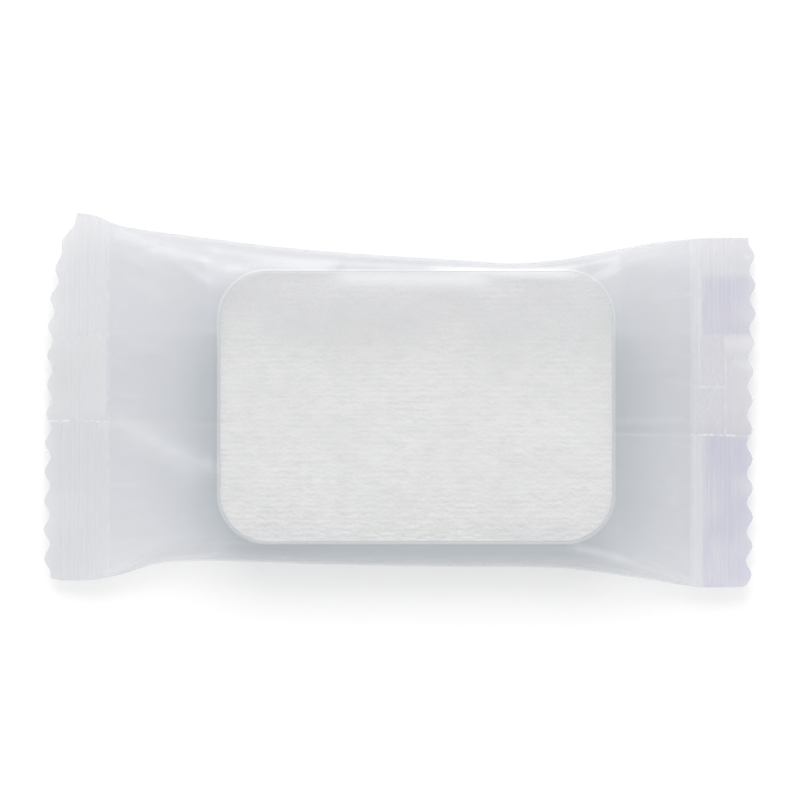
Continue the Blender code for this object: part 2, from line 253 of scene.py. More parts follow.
@dataclass(frozen=True)
class NodeBoard:
    """Shorthand for wiring a material's nodes."""

    tree: bpy.types.NodeTree

    def feed(self, socket: Socket, value: Any) -> None:
        """Links a socket to the value, or sets it; a colour comes without its opacity."""
        if isinstance(value, Socket):
            self.tree.links.new(value, socket)
        elif socket.type == "RGBA":
            socket.default_value = (*value, 1.0)
        else:
            socket.default_value = value

    def add(self, kind: str, settings: dict[str, Any] | None = None, **values: Any) -> bpy.types.Node:
        """A new node.

        Args:
            kind: The node's type.
            settings: Properties of the node.
            **values: Input values or the sockets that feed them, by input name, with underscores for spaces.

        Returns:
            The node.
        """
        made = self.tree.nodes.new(kind)
        for name, value in (settings or {}).items():
            setattr(made, name, value)
        for name, value in values.items():
            self.feed(made.inputs[name.replace("_", " ")], value)
        return made

    def scaled_place(self, scale: Triple) -> Socket:
        """Place on the piece, in cycles of a pattern with so many cycles a metre along each axis."""
        place = self.add("ShaderNodeTexCoord").outputs["Object"]
        return self.add("ShaderNodeMapping", Vector=place, Scale=scale).outputs["Vector"]

    def noise(self, scale: Triple, detail: float, warp: float = 0.0) -> Socket:
        """Soft noise over the piece.

        Args:
            scale: Cycles a metre along each axis.
            detail: Number of finer octaves.
            warp: How far the pattern is bent.

        Returns:
            The noise, about 0.5.
        """
        place = self.scaled_place(scale)
        made = self.add("ShaderNodeTexNoise", Vector=place, Scale=1.0, Detail=detail, Distortion=warp)
        return made.outputs["Fac"]

    def away(self, block: Block) -> Socket:
        """Distance from a block seen from above, plus the radius of its corners.

        Args:
            block: The block.

        Returns:
            The distance in metres, the corner radius at the outline and less over the block.
        """
        place = self.add("ShaderNodeTexCoord").outputs["Object"]
        kept = block.half_x - block.corner, block.half_y - block.corner, 1.0
        steps = (
            ("SUBTRACT", (block.x, block.y, 0.0)),
            ("ABSOLUTE",),
            ("SUBTRACT", kept),
            ("MAXIMUM", (0.0, 0.0, 0.0)),
            ("MULTIPLY", (1.0, 1.0, 0.0)),
            ("LENGTH",),
        )
        for kind, *value in steps:
            made = self.add("ShaderNodeVectorMath", {"operation": kind})
            for socket, fed in zip(made.inputs, (place, *value)):
                self.feed(socket, fed)
            place = made.outputs["Value" if kind == "LENGTH" else "Vector"]
        return place

    def ramp(self, value: Socket, low: float, high: float) -> Socket:
        """Zero up to low, rising to one at high."""
        return self.add("ShaderNodeMapRange", Value=value, From_Min=low, From_Max=high).outputs[0]

    def span(self, value: Socket, low: float, high: float) -> Socket:
        """A 0.3 to 0.7 noise spread between two values."""
        reach = {"From_Min": 0.3, "From_Max": 0.7, "To_Min": low, "To_Max": high}
        return self.add("ShaderNodeMapRange", Value=value, **reach).outputs["Result"]

    def reckon(self, operation: str, *values: Socket | float) -> Socket:
        """Result of an operation on numbers.

        Args:
            operation: The math node's operation.
            *values: The numbers, as values or sockets.

        Returns:
            The result.
        """
        made = self.add("ShaderNodeMath", {"operation": operation})
        for socket, value in zip(made.inputs, values):
            self.feed(socket, value)
        return made.outputs[0]

    def sum(self, one: Socket, two: Socket, weight: float) -> Socket:
        """One plus two times a weight."""
        return self.reckon("MULTIPLY_ADD", two, weight, one)

    def times(self, one: Socket, two: Socket | float) -> Socket:
        """One times two."""
        return self.reckon("MULTIPLY", one, two)

    def dress(self, surface: bpy.types.Node, looks: dict[str, Any]) -> None:
        """Sets or links a shader's inputs, by name."""
        for name, value in looks.items():
            self.feed(surface.inputs[name], value)

    def blend(self, share: Any, one: Any, two: Any) -> Socket:
        """Colour a share of the way from one to two.

        Args:
            share: The share, as a value or a socket.
            one: First colour, as a value or a socket.
            two: Second colour, as a value or a socket.

        Returns:
            The mixed colour.
        """
        made = self.add("ShaderNodeMix", {"data_type": "RGBA"})
        for number, value in ((0, share), (6, one), (7, two)):
            self.feed(made.inputs[number], value)
        return made.outputs[2]

    def attributes(self, *names: str) -> list[Socket]:
        """The values that the mesh keeps on its corners, by name."""
        return [self.add("ShaderNodeAttribute", {"attribute_name": name}).outputs["Fac"] for name in names]


def new_board(name: str) -> tuple[bpy.types.Material, NodeBoard, bpy.types.Node]:
    """A material with its node board and its surface shader."""
    made = bpy.data.materials.new(name)
    made.use_nodes = True
    return made, NodeBoard(made.node_tree), made.node_tree.nodes["Principled BSDF"]


@dataclass(frozen=True)
class FrostedFilm:
    """Thin frosted polyethylene: milky, half clear, clearer where it touches the pads."""

    cool: Triple = (0.745, 0.76, 0.80)
    lilac: Triple = (0.75, 0.745, 0.82)
    # deep: painted shade, the darker teal the film takes beside the pads in place of their shadow seen
    # through it.
    deep: Triple = (0.37, 0.445, 0.485)
    pressed: Triple = (0.765, 0.77, 0.80)
    sealed: Triple = (0.62, 0.61, 0.735)
    # cracked: the white of cracked and crimped film, also used for the painted highlights.
    cracked_and_highlight: Triple = (0.97, 0.975, 0.98)
    veil: float = 0.40
    veil_on_pads: float = 0.12
    veil_standing_off: float = 0.19
    veil_gleam: float = 0.23
    veil_shaded: float = 0.13
    veil_pressed: float = 0.48
    veil_flap: float = 0.05
    roughness: float = 0.32
    edge: float = 0.10 * MM
    rim_reach: float = 0.50 * MM
    rim_light: float = 0.45
    veil_rim: float = 0.20

    def material(self, block: Block) -> bpy.types.Material:
        """The film's material, whiter and rougher where the jaws pressed it.

        Args:
            block: The stack of pads, over which the film is clearer.

        Returns:
            The material.
        """
        made, board, surface = new_board("frosted_film_look")
        veil, touch, press, crack_and_highlight, lilac, shade = board.attributes(
            "veil", "touch", "press", "crack_and_highlight", "lilac", "shade"
        )
        away = board.away(block)
        beyond = board.ramp(away, block.corner, block.corner + self.edge)
        # Painted highlight: a light rim just beyond the top pad's outline, whitened and made milkier.
        rim = board.times(beyond, board.ramp(away, block.corner + self.rim_reach, block.corner))
        cloud = board.span(board.noise((55.0, 75.0, 75.0), 1.0), 0.0, 0.6)
        tint = board.blend(cloud, self.cool, self.lilac)
        colour = board.blend(press, tint, self.pressed)
        # Painted shade: near the pads the film's colour goes towards the deep colour, standing in for their
        # shadow.
        shaded = board.times(shade, beyond)
        colour = board.blend(shaded, colour, self.deep)
        colour = board.blend(lilac, colour, self.sealed)
        # White where the film is cracked or crimped, plus painted highlights from the gleams and the rim.
        colour = board.blend(board.sum(crack_and_highlight, rim, self.rim_light), colour, self.cracked_and_highlight)
        drawn = board.noise((140.0, 560.0, 560.0), 2.0)
        rough = board.sum(board.span(drawn, self.roughness - 0.04, self.roughness + 0.04), press, 0.12)
        bump = board.add("ShaderNodeBump", Strength=0.35, Distance=0.05 * MM, Height=drawn)
        over_pads = board.reckon("MINIMUM", board.sum(touch, crack_and_highlight, 0.3), self.veil_gleam)
        milky = board.sum(board.sum(veil, crack_and_highlight, 0.45), shaded, self.veil_shaded)
        milky = board.sum(milky, rim, self.veil_rim)
        alpha = board.add("ShaderNodeMix", {"data_type": "FLOAT"})
        for number, value in ((0, beyond), (2, over_pads), (3, milky)):
            board.feed(alpha.inputs[number], value)
        board.dress(surface, {
            "Alpha": alpha.outputs[0],
            "Base Color": colour,
            "Roughness": rough,
            "Normal": bump.outputs["Normal"],
            "Specular IOR Level": 0.9,
            "IOR": 1.5,
        })
        made.diffuse_color = (*self.cool, self.veil)
        return made


@dataclass(frozen=True)
class PressedCotton:
    """Compressed cotton: matt and white, with short crepe ripples and fibres, a painted highlight along the
    cut rim and painted shade over its crowned top.
    """

    light: Triple = (0.85, 0.85, 0.846)
    middle: Triple = (0.75, 0.75, 0.746)
    # deep: a darker tone for the random mottle and for the painted shade of the crowned top.
    deep: Triple = (0.65, 0.65, 0.648)
    # rim: painted highlight colour for the pads' cut rim and the far edge's light band.
    rim: Triple = (0.92, 0.935, 0.945)
    roughness: float = 0.95

    def material(self) -> bpy.types.Material:
        """The cotton's material, with its ripples and fibres as colour and bump."""
        made, board, surface = new_board("pressed_cotton_look")
        rim, crepe, crown_shade = board.attributes("rim", "crepe", "crown_shade")
        crinkle = board.add(
            "ShaderNodeTexWave",
            {"wave_type": "BANDS", "bands_direction": "Y"},
            Vector=board.scaled_place((640.0, 390.0, 390.0)),
            Scale=1.0,
            Distortion=5.0,
            Detail=1.0,
            Detail_Scale=1.8,
        ).outputs["Fac"]
        ripple = board.noise((620.0, 2600.0, 2600.0), 1.0, 0.25)
        mottle = board.noise((460.0, 600.0, 500.0), 2.0)
        fibre = board.noise((2600.0, 3200.0, 3000.0), 1.0)
        crests = board.times(board.sum(board.span(ripple, 0.0, 0.6), crinkle, 0.4), crepe)
        # Painted shade: darker towards the pad's front and back and near its edges, where its crowned top
        # turns from the light.
        colour = board.blend(crown_shade, self.middle, self.deep)
        colour = board.blend(board.span(mottle, 0.0, 0.60), colour, self.deep)
        # Fibres lighten at random; the ripple crests are painted lighter too, a painted highlight beside
        # their bump.
        lit = board.sum(board.span(fibre, 0.0, 0.22), crests, 0.72)
        colour = board.blend(lit, colour, self.light)
        # Painted highlight along the rim and the far edge.
        colour = board.blend(rim, colour, self.rim)
        height = board.sum(board.sum(mottle, crests, 0.8), fibre, 0.4)
        bump = board.add("ShaderNodeBump", Strength=0.8, Distance=0.07 * MM, Height=height)
        board.dress(surface, {
            "Base Color": colour,
            "Roughness": board.span(fibre, self.roughness - 0.05, 1.0),
            "Normal": bump.outputs["Normal"],
            "Sheen Weight": 0.1,
            "Specular IOR Level": 0.2,
        })
        made.diffuse_color = (*self.middle, 1.0)
        return made


def beside(start: Pair, end: Pair, x: Array, y: Array) -> tuple[Array, Array, float]:
    """Where points lie beside a line.

    Args:
        start: The line's start, in millimetres along X and Y.
        end: Its end, likewise.
        x: Places along the pack, in metres.
        y: Places across the pack, in metres.

    Returns:
        How far along the line and how far to its right the points are, and its length, in millimetres.
    """
    along = np.subtract(end, start)
    length = float(np.hypot(*along))
    east, north = x / MM - start[0], y / MM - start[1]
    run = (east * along[0] + north * along[1]) / length
    return run, (east * along[1] - north * along[0]) / length, length


@dataclass(frozen=True)
class Crease:
    """A soft fold in the front film, highest half-way and fanning out towards its end.

    Start and end are in millimetres along X and Y, height and width in millimetres; spread is the
    width at the end and lean the width of the flank on the left, each as a share.
    """

    start: Pair
    end: Pair
    height: float
    width: float
    spread: float = 1.0
    lean: float = 1.0

    def lift(self, x: Array, y: Array) -> Array:
        """Height that the fold adds at points.

        Args:
            x: Places along the pack.
            y: Places across the pack.

        Returns:
            The added heights.
        """
        run, across, length = beside(self.start, self.end, x, y)
        share = np.clip(run / length, 0.0, 1.0)
        width = self.width * mix(1.0, self.spread, share)
        width = np.where(across < 0.0, self.lean * width, width)
        body = np.sin(math.pi * share) ** 0.8
        return self.height * MM * body * bell(across, width)


@dataclass(frozen=True)
class Stroke:
    """A whitened line, used for cracks and crimp lines, and as painted highlights in the gleams and on the
    top pad.

    Start and end are in millimetres along X and Y, as are its width and the length over which it fades
    at its ends; strength is from 0 to 1.
    """

    start: Pair
    end: Pair
    width: float
    strength: float
    fade: float = 0.4

    def mark(self, x: Array, y: Array) -> Array:
        """Whiteness that the line adds at points.

        Args:
            x: Places along the pack.
            y: Places across the pack.

        Returns:
            The whiteness at each point.
        """
        run, across, length = beside(self.start, self.end, x, y)
        within = ease(run / self.fade + 0.5) * ease((length - run) / self.fade + 0.5)
        return self.strength * within * bell(across, self.width)


# Painted highlight along the pads' far edge, on the film and on the top pad.
FAR_EDGE_LIGHT = (
    Stroke((-9.0, 16.9), (12.5, 16.5), 1.25, 0.75, 5.0),
    Stroke((4.0, 17.7), (25.0, 17.3), 0.80, 0.80, 4.0),
)


class Piece(Enum):
    """Which stretch of the sheet a column belongs to, on its way round the pack."""

    FLAP_UNDER = 0
    BACK_FRONT = 1
    FRONT_SIDE = 2
    TOP = 3
    BACK_SIDE = 4
    BACK_BACK = 5
    TURN = 6
    FLAP_OVER = 7


@dataclass
class FilmWrapper:
    """The sachet: one film sheet rolled into a tube, seamed at the back, crimped and cut at its ends."""

    finish: FrostedFilm = field(default_factory=FrostedFilm)
    left_seal: float = -40.8 * MM
    right_seal: float = 40.7 * MM
    seal_height: float = 4.0 * MM
    seal_droop: float = 1.2 * MM
    seal_wave: float = 0.45 * MM
    seal_bare: float = 0.9 * MM
    seal_reach: float = 8.0 * MM
    wave_length: float = 30.0 * MM
    wave_ratio: float = 2.24
    held_outline: Pair = (-45.0 * MM, 48.3 * MM)
    layer_pitch: float = 0.07 * MM
    wall: float = 0.10 * MM
    pad_gap: float = 0.3 * MM
    pad_corner: float = 6.7 * MM
    rim_inset: float = 0.12 * MM
    slope_start: float = 0.5 * MM
    puff: float = 1.1
    drape: float = 0.12
    edge_heights: Pair = (4.4 * MM, 5.4 * MM)
    squareness: Pair = (0.95, 0.55)
    seam_roots: Pair = (-3.15 * MM, -4.95 * MM)
    seam_free_edge: float = 9.0 * MM
    seam_lift: float = 0.5 * MM
    crimps: tuple[float, ...] = (0.25, 0.70, 1.15, 1.60, 2.15, 2.60, 3.45, 3.95, 4.55, 5.10, 5.95, 6.40)
    crimp_width: float = 0.14 * MM
    crimp_height: float = 0.07 * MM
    net_cell: float = 1.05 * MM
    net_height: float = 0.07 * MM
    ridge_height: float = 0.30 * MM
    shoulder: float = 0.35 * MM
    seal_rows: int = 84
    hollow_rows: int = 40
    stack_rows: int = 54
    flap_columns: int = 9
    back_columns: tuple[int, int] = (50, 38)
    side_columns: int = 28
    top_columns: tuple[int, int, int] = (60, 12, 78)
    turn_columns: int = 6
    ridges: tuple[tuple[Pair, ...], ...] = (
        ((-41.0, 0.1), (-34.0, 2.0), (-27.0, 3.2), (-20.0, 3.5), (10.0, 4.1), (22.0, 4.0), (29.0, 3.4),
         (36.0, 1.6), (41.0, 0.1)),
        ((-41.0, 0.1), (-34.0, 2.2), (-27.9, 3.4), (-18.1, 4.2), (-9.7, 3.4), (7.1, 2.4), (17.6, 1.75),
         (24.0, 2.6), (30.0, 2.6), (36.0, 1.3), (41.0, 0.1)),
    )
    creases: tuple[Crease, ...] = (
        Crease((-42.0, -2.6), (-24.0, -12.8), 0.90, 1.9, 1.8, 0.6),
        Crease((-40.8, 21.0), (-33.0, 16.5), 0.30, 0.8, 1.6),
        Crease((-40.8, 7.4), (-30.0, 5.2), 0.30, 0.8, 2.0),
        Crease((-40.8, -19.0), (-30.0, -17.5), 0.30, 0.9, 1.6),
        Crease((-25.5, 14.5), (-33.0, 19.8), 0.40, 0.8, 1.2),
        Crease((27.0, 15.5), (36.0, 20.6), 0.40, 0.9, 1.2),
        Crease((40.7, 5.0), (31.0, 2.5), 0.30, 0.9, 1.6),
        Crease((40.7, -16.0), (30.5, -12.0), 0.35, 1.0, 1.6),
        Crease((25.0, -20.3), (36.5, -24.2), 0.40, 0.9, 1.0),
        Crease((-26.0, -20.3), (-36.0, -23.4), 0.40, 0.9, 1.0),
        Crease((13.0, 16.9), (24.0, 16.3), 0.25, 0.7, 1.0),
    )
    pleats: int = 10
    pleat_gleam: float = 0.45
    root_white: float = 0.8
    crimp_white: float = 0.16
    net_white: float = 0.13
    fold_white: float = 0.22
    shade_reach: Triple = (6.5 * MM, 9.0 * MM, 4.0 * MM)
    shade_depth: Triple = (0.66, 0.50, 0.76)
    lilac_start: float = 1.2 * MM
    lilac_top: float = 18.5 * MM
    # gleams: painted highlights along the film's ridges, creases, pleats and seal edges.
    gleams: tuple[Stroke, ...] = (
        *FAR_EDGE_LIGHT,
        Stroke((-40.5, 23.4), (-33.0, 20.8), 0.80, 0.50, 2.5),
        Stroke((-35.5, 21.1), (-22.0, 18.3), 0.90, 0.62, 3.0),
        Stroke((-25.0, 18.4), (-9.0, 18.0), 0.95, 0.75, 4.0),
        Stroke((24.0, -20.7), (31.5, -22.6), 0.55, 0.28, 2.0),
        Stroke((29.0, -22.0), (40.5, -25.8), 0.65, 0.35, 3.0),
        Stroke((28.0, 19.0), (41.0, 22.0), 1.30, 0.22, 5.0),
        Stroke((-41.5, -24.4), (-37.0, -22.9), 0.45, 0.28, 1.5),
        Stroke((-39.0, -23.5), (-25.0, -21.6), 0.55, 0.25, 3.0),
        Stroke((30.5, -3.4), (40.0, -3.2), 0.60, 0.10, 3.0),
        Stroke((37.9, -11.0), (38.3, -15.0), 1.00, 0.10, 2.5),
        Stroke((-42.0, -2.6), (-27.5, -10.8), 2.30, 0.24, 5.0),
        Stroke((-38.5, 18.5), (-33.0, 14.0), 1.80, 0.09, 4.0),
        Stroke((45.4, 7.9), (49.6, 7.9), 1.30, 0.45, 0.8),
        Stroke((46.6, 5.6), (49.6, 4.4), 1.10, 0.28, 0.8),
    )
    strokes: tuple[Stroke, ...] = (
        Stroke((41.9, 22.2), (41.9, 1.5), 0.16, 0.32),
        Stroke((45.6, 7.4), (45.6, -4.9), 0.16, 0.30),
        Stroke((41.0, 1.7), (45.6, 1.7), 0.12, 0.34),
        Stroke((47.6, 20.4), (49.3, 19.8), 0.25, 0.30),
        Stroke((-40.9, 23.0), (-40.9, -24.0), 0.14, 0.16),
    )

    def __post_init__(self) -> None:
        """Reads the CAD model, gathers the film's ends and sorts the sheet's columns."""
        self.read_stack()
        self.read_outline()
        self.top_level = self.stack_high.z + self.pad_gap + 0.5 * self.wall
        self.grain = Grain(11)
        self.fine = Grain(23)
        pleats = self.gathers()
        self.creases += tuple(pleats)
        # Each pleat also gets a painted highlight along it.
        self.gleams += tuple(
            Stroke(pleat.start, pleat.end, 0.4, self.pleat_gleam * pleat.height, 2.0) for pleat in pleats
        )
        self.sort_columns()

    def read_stack(self) -> None:
        """Reads the stack's box, and the top pad's outline, over which the film is clearer."""
        names = [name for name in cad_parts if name.startswith("cotton_pad")]
        boxes = [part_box(name) for name in names]
        self.stack_low = Vector([min(low[axis] for low, _ in boxes) for axis in range(3)])
        self.stack_high = Vector([max(high[axis] for _, high in boxes) for axis in range(3)])
        top_low, top_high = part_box(max(names))
        centre, half = (top_low + top_high) / 2, (top_high - top_low) / 2
        inset = self.rim_inset
        self.block = Block(centre.x, centre.y, half.x - inset, half.y - inset, self.pad_corner - inset)

    def read_outline(self) -> None:
        """Reads the pack's long sides and the cut edges of its seals."""
        solid = CadSolid("film_wrapper")
        low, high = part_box("film_wrapper")
        self.outline_x = np.linspace(*self.held_outline, 380)
        spans = np.array([solid.slice(0, x, 1) for x in self.outline_x])
        places = 1.0 * MM / (self.outline_x[1] - self.outline_x[0])
        self.front = soften(spans[:, 0], places) + 0.5 * self.wall
        self.back = soften(spans[:, 1], places) - 0.5 * self.wall
        self.outline_y = np.linspace(low.y + 0.05 * MM, high.y - 0.05 * MM, 520)
        reaches = np.array([solid.slice(1, y, 0) for y in self.outline_y])
        places = 0.12 * MM / (self.outline_y[1] - self.outline_y[0])
        self.cuts = {}
        for end, reach in zip(End, reaches.T):
            sealed = (reach - self.seal_of(end)) * end.value > 0.0
            cut = np.interp(self.outline_y, self.outline_y[sealed], reach[sealed])
            self.cuts[end] = soften(cut, places)

    def sort_columns(self) -> None:
        """Notes each column's stretch, and which columns look up or are seen edge-on."""
        counts = (self.flap_columns, self.back_columns[0], self.side_columns, sum(self.top_columns),
                  self.side_columns, self.back_columns[1], self.turn_columns, self.flap_columns - 1)
        self.pieces = np.repeat([piece.value for piece in Piece], counts)
        upper_half = np.arange(self.side_columns) >= self.side_columns // 2
        across_fold = np.linspace(-1.0, 1.0, self.side_columns)
        self.edge_on = np.zeros(len(self.pieces))
        self.upward = self.pieces == Piece.TOP.value
        self.upward[self.pieces == Piece.FRONT_SIDE.value] = upper_half
        self.upward[self.pieces == Piece.BACK_SIDE.value] = upper_half[::-1]
        for piece, weight in ((Piece.FRONT_SIDE, 0.8), (Piece.BACK_SIDE, 0.3)):
            self.edge_on[self.pieces == piece.value] = weight * bell(across_fold, 0.3)

    def gathers(self) -> list[Crease]:
        """Small pleats that run out from the jaws' marks into the pouch."""
        dice = np.random.default_rng(5)
        made = []
        for end in End:
            start = self.seal_of(end) / MM
            for place in np.linspace(-21.0, 19.0, self.pleats) + dice.uniform(-1.0, 1.0, self.pleats):
                length, lean = dice.uniform(1.2, 5.5), dice.uniform(-0.8, 0.8)
                tip = (start - end.value * length, place - 0.06 * place * length / 5.0 + lean)
                root = (start + end.value * 0.25 * length, place)
                made.append(Crease(root, tip, dice.uniform(0.04, 0.16), dice.uniform(0.35, 0.6), 1.8))
        return made

    def seal_of(self, end: End) -> float:
        """Where an end's seal starts."""
        return self.left_seal if end is End.LEFT else self.right_seal

    def fullness(self, x: float) -> float:
        """One over the stack of pads, falling to zero at the end seals."""
        left_end = self.stack_low.x - self.slope_start
        right_end = self.stack_high.x + self.slope_start
        if x < left_end:
            out = (left_end - x) / (left_end - self.left_seal)
        else:
            out = (x - right_end) / (self.right_seal - right_end)
        out = min(max(out, 0.0), 1.0)
        return 1.0 - ((1.0 + self.drape) * out**2 / (out + self.drape)) ** self.puff

    def sides(self, x: Any) -> tuple[Any, Any]:
        """Where the pouch's front and back sides run at x."""
        return np.interp(x, self.outline_x, self.front), np.interp(x, self.outline_x, self.back)

    def seam_root(self, x: Any) -> Any:
        """Where the back seam leaves the tube at x."""
        return mix(*self.seam_roots, (x - self.left_seal) / (self.right_seal - self.left_seal))

    def ridge_inset(self, side: Side, x: float) -> float:
        """How far in from the pouch's side its upper ridge runs."""
        points = np.array(self.ridges[0 if side is Side.FRONT else 1]) * MM
        fine = np.linspace(points[0, 0], points[-1, 0], 200)
        inset = soften(np.interp(fine, points[:, 0], points[:, 1]), 4.0)
        return max(float(np.interp(x, fine, inset)), 0.5 * self.layer_pitch)

    def side_path(self, side: Side, ridge: float, edge: float, levels: Pair,
                  full: float) -> tuple[Array, Array]:
        """Path of the film round one side of the tube, from its lower level to its upper one.

        Args:
            side: Which side.
            ridge: Where the flat back and front film end.
            edge: Outermost reach of the side.
            levels: Heights of the back and the front film.
            full: How full the pouch is here.

        Returns:
            Places across the pack and heights.
        """
        which = 0 if side is Side.FRONT else 1
        angle = np.linspace(-0.5 * math.pi, 0.5 * math.pi, self.side_columns)
        square = mix(1.0, self.squareness[which], full)
        edge_level = mix(self.seal_height, self.edge_heights[which], full)
        fold = 1.0 - np.abs(angle) / (0.5 * math.pi)
        pointed = 0.45 * min(1.0, 2.5 * (1.0 - full)) * min(1.0, 4.0 * full)
        out = mix(np.abs(np.cos(angle)) ** square, fold, pointed)
        rise = mix(np.abs(np.sin(angle)) ** square, 1.0 - fold, pointed)
        level = np.where(angle > 0, levels[1], levels[0])
        return mix(ridge, edge, out), mix(edge_level, level, rise)

    def section(self, x: float) -> tuple[Array, Array]:
        """Path of the film round the pack, from the seam's lower layer to its upper one.

        Args:
            x: Where along the pack.

        Returns:
            Places across the pack and heights, before folds and waves.
        """
        full = self.fullness(x)
        pitch = mix(self.layer_pitch, 2.0 * self.wall, full)
        low = mix(self.seal_height - 0.5 * self.layer_pitch, 0.5 * self.wall, full)
        high = mix(self.seal_height + 0.5 * self.layer_pitch, self.top_level - self.shoulder, full)
        over_seam = low + self.seam_lift * full
        upper_seam = over_seam - mix(pitch, 0.3 * MM, full)
        lower_seam = upper_seam - pitch
        root = self.seam_root(x)
        front, back = (float(side) for side in self.sides(x))
        front_ridge = front + self.ridge_inset(Side.FRONT, x)
        back_ridge = back - self.ridge_inset(Side.BACK, x)
        front_y, front_z = self.side_path(Side.FRONT, front_ridge, front, (low, high), full)
        back_y, back_z = self.side_path(Side.BACK, back_ridge, back, (low, high), full)
        flap_y = np.linspace(self.seam_free_edge, root, self.flap_columns)
        lower_y = np.linspace(root, front_ridge, self.back_columns[0] + 2)[1:-1]
        lower_z = mix(lower_seam, low, ease(root - lower_y, 0.8 * MM))
        near = 0.5 * MM
        top_y = np.concatenate([
            np.linspace(front_ridge, root - near, self.top_columns[0] + 1)[1:],
            np.linspace(root - near, root + near, self.top_columns[1] + 1)[1:],
            np.linspace(root + near, back_ridge, self.top_columns[2] + 1)[1:-1],
            [back_ridge - 0.05 * MM],
        ])
        inward = np.minimum(top_y - front_ridge, back_ridge - top_y) / (3.5 * MM)
        top_z = high + self.shoulder * full * ease(inward) ** 0.7
        top_z += 4.0 * self.ridge_height * full * (1.0 - full) * np.exp(-((2.5 * inward) ** 2))
        upper_y = np.linspace(back_ridge, root + 0.3 * MM, self.back_columns[1] + 2)[1:-1]
        ramp = (upper_y - self.seam_free_edge - 0.5 * MM) / (1.0 * MM)
        upper_z = mix(over_seam, low, ease(ramp))
        turn = np.linspace(0.5 * math.pi, 1.5 * math.pi, self.turn_columns)
        radius = 0.5 * (over_seam - upper_seam)
        turn_y = root + radius + radius * np.cos(turn)
        turn_z = upper_seam + radius + radius * np.sin(turn)
        path_y = [flap_y, lower_y, front_y, top_y, back_y[::-1], upper_y, turn_y, flap_y[::-1][1:]]
        path_z = [np.full(len(flap_y), lower_seam), lower_z, front_z, top_z,
                  back_z[::-1], upper_z, turn_z, np.full(len(flap_y) - 1, upper_seam)]
        return np.concatenate(path_y), np.concatenate(path_z)

    def seal_shift(self, x: Array, y: Array, end: End) -> Array:
        """Height that an end seal's droop, waves and crimps add.

        Args:
            x: Places along the pack.
            y: Places across the pack.
            end: Which end.

        Returns:
            The added heights.
        """
        out = np.maximum((x - self.seal_of(end)) * end.value - self.seal_bare, 0.0)
        share = out / self.seal_reach
        turn = 2.0 * math.pi * y / self.wave_length
        wave = np.sin(turn + end.value) + 0.5 * np.sin(self.wave_ratio * turn + 2 * end.value)
        shift = -self.seal_droop * share**1.5 + self.seal_wave * wave * share
        crimps = self.crimp_height * self.crimped(x, y, end)
        root = self.seam_root(x)
        fold = bell(y - root, 0.15 * MM) * ease(out, 1.0 * MM)
        jag = 0.5 + 0.5 * self.fine.at(x / (0.5 * MM), y * 0.0 + 17.0)
        seamed = ease(y - root, 0.3 * MM) * ease(self.seam_free_edge - y, 0.3 * MM)
        return shift + crimps + 0.06 * MM * fold * jag + self.net_height * seamed * self.netted(x, y, end)

    def netted(self, x: Array, y: Array, end: End) -> Array:
        """The jaws' net pattern over the folded seam, from 0 to 1.

        Args:
            x: Places along the pack.
            y: Places across the pack.
            end: Which end.

        Returns:
            The height of the net's threads at each place.
        """
        bend = 0.6 * MM * self.fine.at(x / (0.9 * MM) + 5.0, y / (0.8 * MM))
        rising, falling = (math.pi * (x + bend + sign * 0.8 * y) / self.net_cell for sign in (1.0, -1.0))
        net = 1.0 - np.sqrt(np.abs(np.sin(rising) * np.sin(falling)))
        out = (x - self.seal_of(end)) * end.value
        net = net * np.clip(0.7 + 0.6 * self.grain.at(x / (1.5 * MM), y / (1.5 * MM)), 0.1, 1.0)
        return net * ease(out, 0.5 * MM) * ease(4.6 * MM - out, 0.5 * MM) * (end is End.RIGHT)

    def crimped(self, x: Array, y: Array, end: End) -> Array:
        """How strongly the jaws' lines mark a seal, from 0 to 1.

        Args:
            x: Places along the pack.
            y: Places across the pack.
            end: Which end.

        Returns:
            The strength at each place.
        """
        out = (x - self.seal_of(end)) * end.value
        marked = np.zeros(np.shape(out))
        seamed = ease(y - self.seam_root(x), 0.6 * MM) * ease(self.seam_free_edge - y, 0.6 * MM)
        for number, line in enumerate(self.crimps):
            uneven = 0.55 + 0.55 * self.grain.at(y * 0.0 + 3.7 * number + end.value, y / (4.0 * MM) + 40.0)
            marked = marked + uneven * bell(out - line * MM, self.crimp_width)
        return marked * (1.0 - 0.65 * seamed * (end is End.RIGHT))

    def slack(self, x: Array, y: Array, full: float) -> Array:
        """Height that folds and slack add to the front film between the seals.

        Args:
            x: Places along the pack.
            y: Places across the pack.
            full: How full the pouch is here.

        Returns:
            The added heights.
        """
        lift = np.zeros(len(x))
        for crease in self.creases:
            lift += crease.lift(x, y)
        broad = self.grain.at(x / (5.0 * MM) + 7.0, y / (7.0 * MM))
        small = self.fine.at(x / (1.7 * MM), y / (2.6 * MM))
        loose = min(1.0, 5.0 * full) * (1.0 - full) ** 0.5
        over_pads = (0.04 * broad + 0.012 * small) * MM
        return lift * min(1.0, 5.0 * full) + loose * (0.22 * broad + 0.04 * small) * MM + over_pads * full

    def seal_block(self, end: End) -> list[Array]:
        """Points of an end seal's stations, from its inner edge outwards.

        Args:
            end: Which end.

        Returns:
            The points of each station.
        """
        seal = self.seal_of(end)
        mean = float(np.median(self.cuts[end]))
        block = []
        for share in np.linspace(0.0, 1.0, self.seal_rows + 1)[1:]:
            x = mix(seal, mean, share)
            y, z = self.section(x)
            cut = np.interp(y, self.outline_y, self.cuts[end])
            real_x = x + (cut - mean) * share**1.6
            (front, back), (real_front, real_back) = self.sides(x), self.sides(real_x)
            y = mix(real_front, real_back, (y - front) / (back - front))
            block.append(np.stack([real_x, y, z + self.seal_shift(real_x, y, end)], axis=1))
        return block

